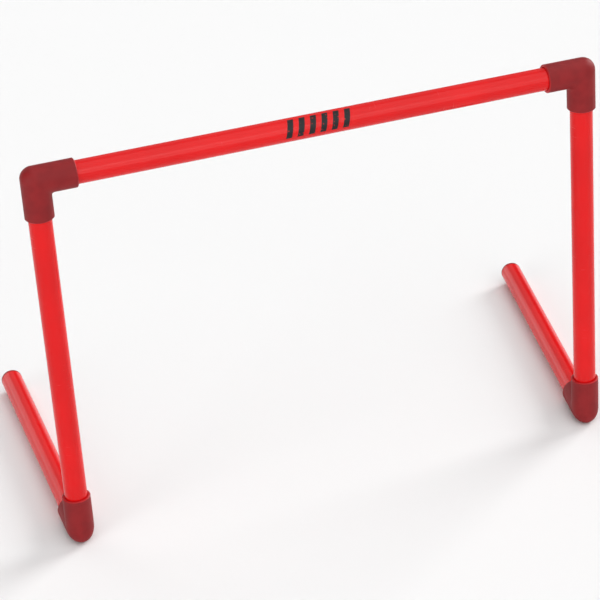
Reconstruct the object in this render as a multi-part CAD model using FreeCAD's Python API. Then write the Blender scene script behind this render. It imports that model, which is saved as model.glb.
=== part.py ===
import FreeCAD, Part
import math
import os

# Low training hurdle of plastic tube: a crossbar, two uprights and two rear feet, joined by moulded elbows.
# Lengths are in millimetres and angles in degrees. X runs along the bar, Y back along the feet and Z up.
# The origin is the middle of the whole hurdle's box, on the floor.

# Overall sizes
upright_spacing = 610.0  # between the axes of the two uprights
bar_top_height = 457.0  # from the floor to the top of the crossbar
foot_reach = 356.0  # from an upright's axis to the rear face of its foot
left_toe_angle = 0.0  # how far each foot is swivelled outward from straight back
right_toe_angle = 8.5

# Tube
tube_diameter = 25.4
tube_wall = 2.0
tube_deburr = 0.4  # chamfer on both edges of a cut end

# Elbow
elbow_wall = 3.0  # round a socket
socket_depth = 28.5  # from the mouth to the shoulder that stops the tube
socket_clearance = 0.05  # on the radius, a snug dry fit that still swivels
stop_margin = 1.5  # from one tube's end to the side of the tube in the other socket
throat_radius = 3.0  # outside, on the inner side of the bend
heel_radius = 13.0  # outside, on the outer side of the bend
passage_throat_radius = 1.5
passage_heel_radius = 5.0
mouth_chamfer = 0.8
mouth_lead_in = 0.6
bend_steps = 4  # sections in each straight stretch of a bend, and in its heel

# End plug
plug_head = 3.0  # thickness of the head outside the tube
plug_edge_radius = 1.2
plug_depth = 16.0  # length inside the tube
plug_wall = 1.5
plug_body_gap = 0.8  # from the body to the tube's bore
plug_fin_clearance = 0.05  # from a fin's tip to the tube's bore
plug_fin_count = 3
plug_fin_length = 3.0
plug_fin_margin = 2.0  # plain length behind the first fin

cut_overrun = 1.0  # how far a cut runs past the face it opens

tube_radius = tube_diameter / 2
bore_radius = tube_radius - tube_wall
socket_radius = tube_radius + socket_clearance
elbow_radius = socket_radius + elbow_wall
stop_distance = tube_radius + stop_margin  # from an elbow's corner to the end of a tube in it
mouth_distance = stop_distance + socket_depth
foot_height = elbow_radius  # the lower elbows lie on the floor
bar_height = bar_top_height - tube_radius

X = FreeCAD.Vector(1, 0, 0)
Y = FreeCAD.Vector(0, 1, 0)
Z = FreeCAD.Vector(0, 0, 1)
CORNER = FreeCAD.Vector(0, 0, 0)


def turned(outline):
    """Solid of revolution about X from a closed outline of (along, radius) points."""
    points = [FreeCAD.Vector(along, radius, 0) for along, radius in outline]
    return Part.Face(Part.makePolygon(points + points[:1])).revolve(CORNER, X, 360)


def bend_section(radius, throat, heel, turn):
    """Oval section of a bend, in the plane through the throat's centre at that turn from the first arm."""
    reach = 2 * radius + throat
    heel_centre = reach - heel
    heel_start = math.atan2(heel_centre, reach)
    if heel_start < turn < math.pi / 2 - heel_start:
        along = heel_centre * (math.sin(turn) + math.cos(turn))
        outer = along + math.sqrt(along**2 - 2 * heel_centre**2 + heel**2)
    else:
        outer = reach / max(math.sin(turn), math.cos(turn))
    inward = FreeCAD.Vector(-math.sin(turn), -math.cos(turn), 0)
    throat_centre = (X + Y) * (radius + throat)
    middle = throat_centre + inward * ((throat + outer) / 2)
    oval = Part.Ellipse(CORNER, max((outer - throat) / 2, radius), radius).toShape()
    oval.Placement = FreeCAD.Placement(middle, FreeCAD.Rotation(inward, Z, inward.cross(Z), "XYZ"))
    return Part.Wire(oval)


def bend(radius, throat, heel):
    """Right-angled bend of a round bar, from the arm along X to that along Y, rounded at throat and heel."""
    reach = 2 * radius + throat
    heel_start = math.atan2(reach - heel, reach)
    marks = [0, heel_start, math.pi / 2 - heel_start, math.pi / 2]
    stretches = []
    for start, end in zip(marks, marks[1:]):
        turns = [start + (end - start) * step / bend_steps for step in range(bend_steps + 1)]
        sections = [bend_section(radius, throat, heel, turn) for turn in turns]
        stretches.append(Part.makeLoft(sections, True, False))
    return stretches[0].multiFuse(stretches[1:])


def second_arm(shape):
    """The same arm along Y instead of X."""
    copy = shape.copy()
    copy.rotate(CORNER, Z, 90)
    return copy


def make_elbow():
    """Moulded elbow with its corner at the origin and its two sockets along X and Y."""
    arm = turned([
        (elbow_radius + throat_radius, 0),
        (elbow_radius + throat_radius, elbow_radius),
        (mouth_distance - mouth_chamfer, elbow_radius),
        (mouth_distance, elbow_radius - mouth_chamfer),
        (mouth_distance, 0),
    ])
    socket = turned([
        (bore_radius + passage_throat_radius, 0),
        (bore_radius + passage_throat_radius, bore_radius),
        (stop_distance, bore_radius),
        (stop_distance, socket_radius),
        (mouth_distance - mouth_lead_in, socket_radius),
        (mouth_distance, socket_radius + mouth_lead_in),
        (mouth_distance + cut_overrun, socket_radius + mouth_lead_in),
        (mouth_distance + cut_overrun, 0),
    ])
    body = bend(elbow_radius, throat_radius, heel_radius).multiFuse([arm, second_arm(arm)])
    passage = bend(bore_radius, passage_throat_radius, passage_heel_radius)
    return body.cut(passage.multiFuse([socket, second_arm(socket)]))


def make_tube(length):
    """Cut length of tube along X, with both ends deburred."""
    return turned([
        (0, bore_radius + tube_deburr),
        (0, tube_radius - tube_deburr),
        (tube_deburr, tube_radius),
        (length - tube_deburr, tube_radius),
        (length, tube_radius - tube_deburr),
        (length, bore_radius + tube_deburr),
        (length - tube_deburr, bore_radius),
        (tube_deburr, bore_radius),
    ])


def make_plug():
    """Push-in plug along X: a head that covers the tube's end at zero, and a finned cup inside the tube."""
    body_radius = bore_radius - plug_body_gap
    fin_radius = bore_radius - plug_fin_clearance
    fin_pitch = (plug_depth - plug_fin_margin) / plug_fin_count
    head = turned([(0, 0), (0, tube_radius), (plug_head, tube_radius), (plug_head, 0)])
    outer_edges = [edge for edge in head.Edges if edge.BoundBox.XMin > plug_head / 2]
    rim = [edge for edge in outer_edges if edge.BoundBox.YMax > body_radius]
    head = head.makeFillet(plug_edge_radius, rim)
    outline = [(0, 0), (0, body_radius)]
    for fin in range(plug_fin_count):
        back = -plug_fin_margin - fin * fin_pitch
        outline += [(back, body_radius), (back, fin_radius), (back - plug_fin_length, body_radius)]
    outline += [
        (-plug_depth, body_radius),
        (-plug_depth, body_radius - plug_wall),
        (-plug_wall, body_radius - plug_wall),
        (-plug_wall, 0),
    ]
    return head.fuse(turned(outline))


def along(shape, start, direction):
    """A turned shape moved so that it starts there and runs that way."""
    copy = shape.copy()
    copy.Placement = FreeCAD.Placement(start, FreeCAD.Rotation(X, direction))
    return copy


def cornered(shape, corner, first, second):
    """An elbow moved to that corner, with its sockets facing those two ways."""
    copy = shape.copy()
    copy.Placement = FreeCAD.Placement(corner, FreeCAD.Rotation(first, second, first.cross(second), "XYZ"))
    return copy


def build():
    """Every piece of the hurdle by name, with the floor at zero and the bar over the X axis."""
    elbow = make_elbow()
    plug = make_plug()
    bar = make_tube(upright_spacing - 2 * stop_distance)
    upright = make_tube(bar_height - foot_height - 2 * stop_distance)
    foot = make_tube(foot_reach - plug_head - stop_distance)
    pieces = {}
    for side, outward, toe_angle in (("left", -X, left_toe_angle), ("right", X, right_toe_angle)):
        turn = math.radians(toe_angle)
        backward = Y * math.cos(turn) + outward * math.sin(turn)
        upper = outward * (upright_spacing / 2) + Z * bar_height
        lower = outward * (upright_spacing / 2) + Z * foot_height
        pieces[f"upper_{side}_elbow"] = cornered(elbow, upper, -outward, -Z)
        pieces[f"{side}_upright"] = along(upright, lower + Z * stop_distance, Z)
        pieces[f"lower_{side}_elbow"] = cornered(elbow, lower, backward, Z)
        pieces[f"{side}_foot_tube"] = along(foot, lower + backward * stop_distance, backward)
        pieces[f"{side}_end_plug"] = along(plug, lower + backward * (foot_reach - plug_head), backward)
    bar_start = X * (stop_distance - upright_spacing / 2) + Z * bar_height
    pieces["crossbar"] = along(bar, bar_start, X)
    return pieces


pieces = build()
box = Part.makeCompound(list(pieces.values())).optimalBoundingBox()
origin = FreeCAD.Vector(box.Center.x, box.Center.y, box.ZMin)
print("size", box.XLength, box.YLength, box.ZLength, "origin", origin)

os.makedirs("parts", exist_ok=True)
for name, shape in pieces.items():
    shape.translate(-origin)
    if not shape.isValid() or len(shape.Solids) != 1:
        raise ValueError(f"{name} isn't one sound solid")
    print(name, "volume", shape.Volume)
    shape.Solids[0].exportStep(f"parts/{name}.step")
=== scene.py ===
import math

import bpy
from mathutils import Matrix, Vector


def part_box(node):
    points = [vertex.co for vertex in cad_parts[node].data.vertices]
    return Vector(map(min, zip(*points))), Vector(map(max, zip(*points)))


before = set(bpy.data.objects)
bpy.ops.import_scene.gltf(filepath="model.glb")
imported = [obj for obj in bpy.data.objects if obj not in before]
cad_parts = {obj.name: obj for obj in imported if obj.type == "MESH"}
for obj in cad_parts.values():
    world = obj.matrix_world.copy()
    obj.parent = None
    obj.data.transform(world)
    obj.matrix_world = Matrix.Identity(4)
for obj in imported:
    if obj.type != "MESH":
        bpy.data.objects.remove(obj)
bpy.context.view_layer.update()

METRE = 1.0
MM = METRE / 1000
X = Vector((1, 0, 0))
Y = Vector((0, 1, 0))
Z = Vector((0, 0, 1))
WHITE = (1, 1, 1, 1)

# The photograph's camera, found by fitting the tubes' outlines. It is placed from the point midway
# between the two front corners of the feet, in metres.
FRAME_PIXELS = 600
FOCAL_PIXELS = 2458.7
SENSOR_MM = 36
CAMERA_OFFSET = Vector((-0.6924, -2.2697, 1.5093))
CAMERA_YAW = math.radians(16.228)
CAMERA_PITCH = math.radians(28.532)
CAMERA_ROLL = math.radians(4.325)

# Places of a Mix node's two inputs and its output for colours
MIX_COLOURS = (6, 7, 2)

# Noise runs from 0 to 1. Each pair says where in it a pattern's blots start and where they are full.
SOFT_BLOTS = (0.35, 0.65)
SCUFF_BLOTS = (0.68, 0.75)
SCUFF_PATCH_BLOTS = (0.55, 0.7)
UNWORN_PRINT_BLOTS = (0.70, 0.64)

# Tube plastic
TUBE_RED = (0.66, 0.0035, 0.0045, 1)
TUBE_DEEP_RED = (0.61, 0.003, 0.004, 1)
TUBE_SCUFF_RED = (0.60, 0.05, 0.05, 1)
TUBE_MOTTLE = 70 * MM
TUBE_LINE_LENGTH = 500 * MM
TUBE_LINE_WIDTH = 1.4 * MM
TUBE_LINE_DEPTH = 0.03 * MM
TUBE_SMOOTHEST = 0.17
TUBE_ROUGHEST = 0.27
TUBE_SPECULAR_LEVEL = 0.27
SCUFF_LENGTH = 25 * MM
SCUFF_WIDTH = 0.8 * MM
SCUFF_PATCH = 45 * MM
SCUFF_ROUGHNESS = 0.42
SCUFF_STRENGTH = 0.75

# Print on the crossbar: a row of slanted bars, with angles up round the tube from its front
PRINT_START = -33 * MM  # middle of the first bar, from the middle of the crossbar
PRINT_LENGTH = 76 * MM
PRINT_BARS = 6
PRINT_BAR_SHARE = 0.52  # of a bar in a bar and a gap
PRINT_LOW = math.radians(-20)
PRINT_HIGH = math.radians(80)
PRINT_SLANT = math.radians(14)
PRINT_EDGE = 0.35 * MM
PRINT_WEAR = 3 * MM
INK_BLACK = (0.010, 0.009, 0.010, 1)
INK_ROUGHNESS = 0.4

# Moulded plastic of the elbows and plugs
MOULDED_RED = (0.235, 0.0085, 0.0105, 1)
MOULDED_DARK_RED = (0.20, 0.0065, 0.0085, 1)
MOULDED_WORN_RED = (0.30, 0.014, 0.017, 1)
MOULDED_ROUGHNESS = 0.55
MOULDED_WORN_ROUGHNESS = 0.42
MOULDED_SPECULAR_LEVEL = 0.25
FLOW_SIZE = 18 * MM
GRAIN_SIZE = 0.5 * MM
GRAIN_DEPTH = 0.035 * MM
RIM_WEAR = 1.6 * MM
FLOOR_WEAR = 5 * MM
WEAR_PATCH = 4 * MM

# Painted highlight on the mouths of an elbow, which are painted paler red as if lit, and its parting line
MOUTH_HIGHLIGHT_RED = (0.42, 0.011, 0.014, 1)
MOUTH_HIGHLIGHT_DEPTH = 0.8 * MM
SEAM_WIDTH = 0.5 * MM
SEAM_HEIGHT = 0.1 * MM

# Ring that the mould's gate leaves on a plug
GATE_RADIUS = 2.5 * MM
GATE_WIDTH = 0.6 * MM
GATE_HEIGHT = 0.2 * MM

# Studio: the surroundings are as bright as the floor at the horizon, and dark from the rim up to the zenith
FLOOR_RADIUS = 30 * METRE
FLOOR_SIDES = 96
FLOOR_WHITE = (0.80, 0.80, 0.80, 1)
FLOOR_ROUGHNESS = 0.9
FLOOR_SPECULAR_LEVEL = 0.1
HORIZON_STRENGTH = 0.95
ZENITH_STRENGTH = 0.03
ZENITH_RIM = math.radians(16)
# Wide lamps far away: degrees round from the front to the right, degrees up, degrees wide and strength
LAMPS = {
    "sky": (15, 64, 76, 1.9),
    "front": (8, 18, 40, 0.7),
    "left": (-58, 14, 32, 1.1),
    "right": (112, 24, 30, 2.4),
    "back_left": (-157, 16, 28, 0.3),
    "back_high": (180, 50, 60, 0.5),
}


def middle(node):
    """Centre of a CAD node's box."""
    low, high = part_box(node)
    return (low + high) / 2


def make_camera():
    """Camera at the photograph's viewing angle."""
    left = middle("left_upright")
    right = middle("right_upright")
    datum = Vector(((left.x + right.x) / 2, left.y, middle("left_foot_tube").z))
    forward = Vector((
        math.sin(CAMERA_YAW) * math.cos(CAMERA_PITCH),
        math.cos(CAMERA_YAW) * math.cos(CAMERA_PITCH),
        -math.sin(CAMERA_PITCH),
    ))
    level = Vector((math.cos(CAMERA_YAW), -math.sin(CAMERA_YAW), 0))
    down = forward.cross(level)
    across = level * math.cos(CAMERA_ROLL) + down * math.sin(CAMERA_ROLL)
    up = level * math.sin(CAMERA_ROLL) - down * math.cos(CAMERA_ROLL)
    data = bpy.data.cameras.new("photo_camera")
    data.sensor_width = SENSOR_MM
    data.lens = FOCAL_PIXELS / FRAME_PIXELS * SENSOR_MM
    camera = bpy.data.objects.new("photo_camera", data)
    turn = Matrix((across, up, -forward)).transposed().to_4x4()
    camera.matrix_world = Matrix.Translation(datum + CAMERA_OFFSET) @ turn
    bpy.context.scene.collection.objects.link(camera)
    bpy.context.scene.camera = camera


class Graph:
    """Node tree of a material or of the world, with short calls that add a node and give back its output."""

    def __init__(self, owner):
        owner.use_nodes = True
        self.owner = owner
        self.tree = owner.node_tree

    def put(self, socket, value):
        """Links another node's output to the socket, or sets its value."""
        if isinstance(value, bpy.types.NodeSocket):
            self.tree.links.new(value, socket)
        else:
            socket.default_value = value

    def add(self, kind, inputs, output=0, **settings):
        """Output of a new node of that kind."""
        made = self.tree.nodes.new("ShaderNode" + kind)
        for key, value in settings.items():
            setattr(made, key, value)
        for socket, value in inputs.items():
            self.put(made.inputs[socket], value)
        return made.outputs[output]

    def math(self, operation, first, second=0.0):
        """Result of arithmetic on one or two numbers."""
        return self.add("Math", {0: first, 1: second}, operation=operation)

    def place(self, centre):
        """Position in the part, measured from that point."""
        position = self.add("TexCoord", {}, output="Object")
        return self.add("VectorMath", {0: position, 1: centre}, operation="SUBTRACT")

    def along(self, vector, direction):
        """How far the vector goes that way."""
        return self.add("VectorMath", {0: vector, 1: direction}, output="Value", operation="DOT_PRODUCT")

    def off_axis(self, vector, axis):
        """How far the vector's end is from the axis."""
        across = self.add("VectorMath", {0: vector, 1: axis}, operation="CROSS_PRODUCT")
        return self.add("VectorMath", {0: across}, output="Value", operation="LENGTH")

    def band(self, value, low, high):
        """Rises smoothly from 0 to 1 as value goes from low to high."""
        return self.add(
            "MapRange",
            {"Value": value, "From Min": low, "From Max": high},
            interpolation_type="SMOOTHSTEP",
        )

    def spread(self, value, low, high):
        """Goes evenly from low to high as value goes from 0 to 1."""
        return self.add("MapRange", {"Value": value, "To Min": low, "To Max": high})

    def noise(self, vector, sizes):
        """Smooth noise whose blots have those sizes along the vector's three axes."""
        scale = Vector([1 / size for size in sizes])
        scaled = self.add("VectorMath", {0: vector, 1: scale}, operation="MULTIPLY")
        return self.add("TexNoise", {"Vector": scaled, "Scale": 1.0})

    def blots(self, vector, sizes, limits):
        """1 in the blots of smooth noise and 0 between them."""
        return self.band(self.noise(vector, sizes), *limits)

    def mix(self, factor, first, second):
        """Goes from the first colour to the second as the factor goes from 0 to 1."""
        start, end, result = MIX_COLOURS
        inputs = {"Factor": factor, start: first, end: second}
        return self.add("Mix", inputs, output=result, data_type="RGBA")

    def surface(self, colour, roughness, specular_level, height=None):
        """The material, with that colour and finish, and raised by that height."""
        inputs = self.tree.nodes["Principled BSDF"].inputs
        self.put(inputs["Base Color"], colour)
        self.put(inputs["Roughness"], roughness)
        self.put(inputs["Specular IOR Level"], specular_level)
        if height is not None:
            self.put(inputs["Normal"], self.add("Bump", {"Distance": METRE, "Height": height}))
        return self.owner


def new_graph(name):
    """Graph of a new material."""
    return Graph(bpy.data.materials.new(name))


def tube_plastic(node, direction, printed=False):
    """Glossy red extruded plastic, with faint lines along the tube and a few scuffs."""
    graph = new_graph(f"{node}_plastic")
    side = X if direction == Z else Z.cross(direction)
    place = graph.place(middle(node))
    local = graph.add("CombineXYZ", {
        "X": graph.along(place, direction),
        "Y": graph.along(place, side),
        "Z": graph.along(place, direction.cross(side)),
    })
    mottle = graph.blots(local, [TUBE_MOTTLE] * 3, SOFT_BLOTS)
    lines = graph.noise(local, [TUBE_LINE_LENGTH, TUBE_LINE_WIDTH, TUBE_LINE_WIDTH])
    scuffs = graph.blots(local, [SCUFF_WIDTH, SCUFF_LENGTH, SCUFF_LENGTH], SCUFF_BLOTS)
    worn = graph.math("MULTIPLY", scuffs, graph.blots(local, [SCUFF_PATCH] * 3, SCUFF_PATCH_BLOTS))
    colour = graph.mix(mottle, TUBE_RED, TUBE_DEEP_RED)
    colour = graph.mix(graph.math("MULTIPLY", worn, SCUFF_STRENGTH), colour, TUBE_SCUFF_RED)
    roughness = graph.spread(worn, graph.spread(lines, TUBE_SMOOTHEST, TUBE_ROUGHEST), SCUFF_ROUGHNESS)
    if printed:
        ink = print_mask(graph, local)
        colour = graph.mix(ink, colour, INK_BLACK)
        roughness = graph.spread(ink, roughness, INK_ROUGHNESS)
    height = graph.math("MULTIPLY", lines, TUBE_LINE_DEPTH)
    return graph.surface(colour, roughness, TUBE_SPECULAR_LEVEL, height)


def print_mask(graph, local):
    """1 in the slanted bars printed round the front and top of the crossbar, and 0 elsewhere."""
    low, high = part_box("crossbar")
    radius = (high.z - low.z) / 2
    pitch = PRINT_LENGTH / PRINT_BARS
    half_bar = pitch / 2 * PRINT_BAR_SHARE
    angle = graph.math("ARCTAN2", graph.along(local, Z), graph.along(local, -Y))
    arc = graph.math("MULTIPLY", angle, radius)
    slant = graph.math("MULTIPLY", arc, math.tan(PRINT_SLANT))
    run = graph.math("SUBTRACT", graph.math("SUBTRACT", graph.along(local, X), slant), PRINT_START)
    off_middle = graph.math("PINGPONG", run, pitch / 2)
    ink = graph.band(off_middle, half_bar + PRINT_EDGE / 2, half_bar - PRINT_EDGE / 2)
    spans = (
        (run, -pitch / 2, PRINT_LENGTH - pitch / 2),
        (arc, PRINT_LOW * radius, PRINT_HIGH * radius),
    )
    for value, start, end in spans:
        ink = graph.math("MULTIPLY", ink, graph.band(value, start, start + PRINT_EDGE))
        ink = graph.math("MULTIPLY", ink, graph.band(value, end, end - PRINT_EDGE))
    unworn = graph.blots(local, [PRINT_WEAR] * 3, UNWORN_PRINT_BLOTS)
    return graph.math("MULTIPLY", ink, unworn)


def moulded_plastic(graph, place, rim, raised, mouth_highlight=None):
    """Satin dark red moulded plastic, worn at the rim and on the floor, with a painted highlight of paler
    red at a mouth.
    """
    above_floor = graph.along(graph.place(Vector()), Z)
    touching = graph.band(above_floor, FLOOR_WEAR, 0)
    patches = graph.blots(place, [WEAR_PATCH] * 3, SOFT_BLOTS)
    worn = graph.math("MULTIPLY", graph.math("MAXIMUM", rim, touching), patches)
    flow = graph.blots(place, [FLOW_SIZE] * 3, SOFT_BLOTS)
    colour = graph.mix(flow, MOULDED_RED, MOULDED_DARK_RED)
    colour = graph.mix(worn, colour, MOULDED_WORN_RED)
    if mouth_highlight is not None:
        # Painted highlight: the mouth's end is painted paler red, as if light fell on it
        colour = graph.mix(mouth_highlight, colour, MOUTH_HIGHLIGHT_RED)
    roughness = graph.spread(worn, MOULDED_ROUGHNESS, MOULDED_WORN_ROUGHNESS)
    grain = graph.math("MULTIPLY", graph.noise(place, [GRAIN_SIZE] * 3), GRAIN_DEPTH)
    height = graph.math("ADD", grain, raised)
    return graph.surface(colour, roughness, MOULDED_SPECULAR_LEVEL, height)


def elbow_plastic(node, corner, first, second, reach):
    """Moulded plastic of an elbow whose two arms reach that far from its corner, with a parting line and a
    painted highlight on its mouths.
    """
    graph = new_graph(f"{node}_plastic")
    place = graph.place(corner)
    arm = graph.math("MAXIMUM", graph.along(place, first), graph.along(place, second))
    rim = graph.band(arm, reach - RIM_WEAR, reach)
    # Painted highlight: band at each mouth's end that is painted paler red, as if lit
    mouth_highlight = graph.band(arm, reach - MOUTH_HIGHLIGHT_DEPTH, reach - MOUTH_HIGHLIGHT_DEPTH / 2)
    aside = graph.math("ABSOLUTE", graph.along(place, first.cross(second)))
    seam = graph.math("MULTIPLY", graph.band(aside, SEAM_WIDTH, SEAM_WIDTH / 2), SEAM_HEIGHT)
    return moulded_plastic(graph, place, rim, seam, mouth_highlight)


def plug_plastic(node, axis_point, axis):
    """Moulded plastic of an end plug, with the ring that the mould's gate leaves on its head."""
    graph = new_graph(f"{node}_plastic")
    place = graph.place(axis_point)
    low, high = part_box(node)
    radius = (high.z - low.z) / 2
    out = graph.off_axis(place, axis)
    rim = graph.band(out, radius - RIM_WEAR, radius)
    off_ring = graph.math("ABSOLUTE", graph.math("SUBTRACT", out, GATE_RADIUS))
    ring = graph.math("MULTIPLY", graph.band(off_ring, GATE_WIDTH, GATE_WIDTH / 2), GATE_HEIGHT)
    return moulded_plastic(graph, place, rim, ring)


def dress():
    """Materials on the CAD nodes."""
    made = {"crossbar": tube_plastic("crossbar", X, printed=True)}
    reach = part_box("upper_left_elbow")[1].x - middle("left_upright").x
    for side, inward in (("left", X), ("right", -X)):
        upright = middle(f"{side}_upright")
        foot = middle(f"{side}_foot_tube")
        upper = Vector((upright.x, upright.y, middle("crossbar").z))
        lower = Vector((upright.x, upright.y, foot.z))
        backward = (foot - lower).normalized()
        made[f"{side}_upright"] = tube_plastic(f"{side}_upright", Z)
        made[f"{side}_foot_tube"] = tube_plastic(f"{side}_foot_tube", backward)
        made[f"upper_{side}_elbow"] = elbow_plastic(f"upper_{side}_elbow", upper, inward, -Z, reach)
        made[f"lower_{side}_elbow"] = elbow_plastic(f"lower_{side}_elbow", lower, backward, Z, reach)
        made[f"{side}_end_plug"] = plug_plastic(f"{side}_end_plug", foot, backward)
    for name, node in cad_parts.items():
        node.data.materials.clear()
        node.data.materials.append(made[name])


def make_floor():
    """Plain pale floor."""
    bpy.ops.mesh.primitive_circle_add(vertices=FLOOR_SIDES, radius=FLOOR_RADIUS, fill_type="NGON")
    floor = bpy.context.object
    floor.name = "floor"
    paint = new_graph("floor_paint").surface(FLOOR_WHITE, FLOOR_ROUGHNESS, FLOOR_SPECULAR_LEVEL)
    floor.data.materials.append(paint)


def add_lamp(name, round_from_front, up, wide, strength):
    """Lamp so far away that it lights the whole floor alike."""
    data = bpy.data.lights.new(name, "SUN")
    data.angle = math.radians(wide)
    data.energy = strength
    light = bpy.data.objects.new(name, data)
    light.rotation_euler = (math.pi / 2 - math.radians(up), 0, math.radians(round_from_front))
    bpy.context.scene.collection.objects.link(light)


def make_lights():
    """White surroundings that are palest at the horizon, and the lamps."""
    scene = bpy.context.scene
    scene.world = bpy.data.worlds.new("studio")
    graph = Graph(scene.world)
    direction = graph.add("TexCoord", {}, output="Generated")
    height = graph.band(graph.along(direction, Z), 0, math.sin(ZENITH_RIM))
    inputs = graph.tree.nodes["Background"].inputs
    graph.put(inputs["Color"], WHITE)
    graph.put(inputs["Strength"], graph.spread(height, HORIZON_STRENGTH, ZENITH_STRENGTH))
    for name, settings in LAMPS.items():
        add_lamp(name, *settings)
    scene.view_settings.view_transform = "Standard"


make_camera()
dress()
make_floor()
make_lights()
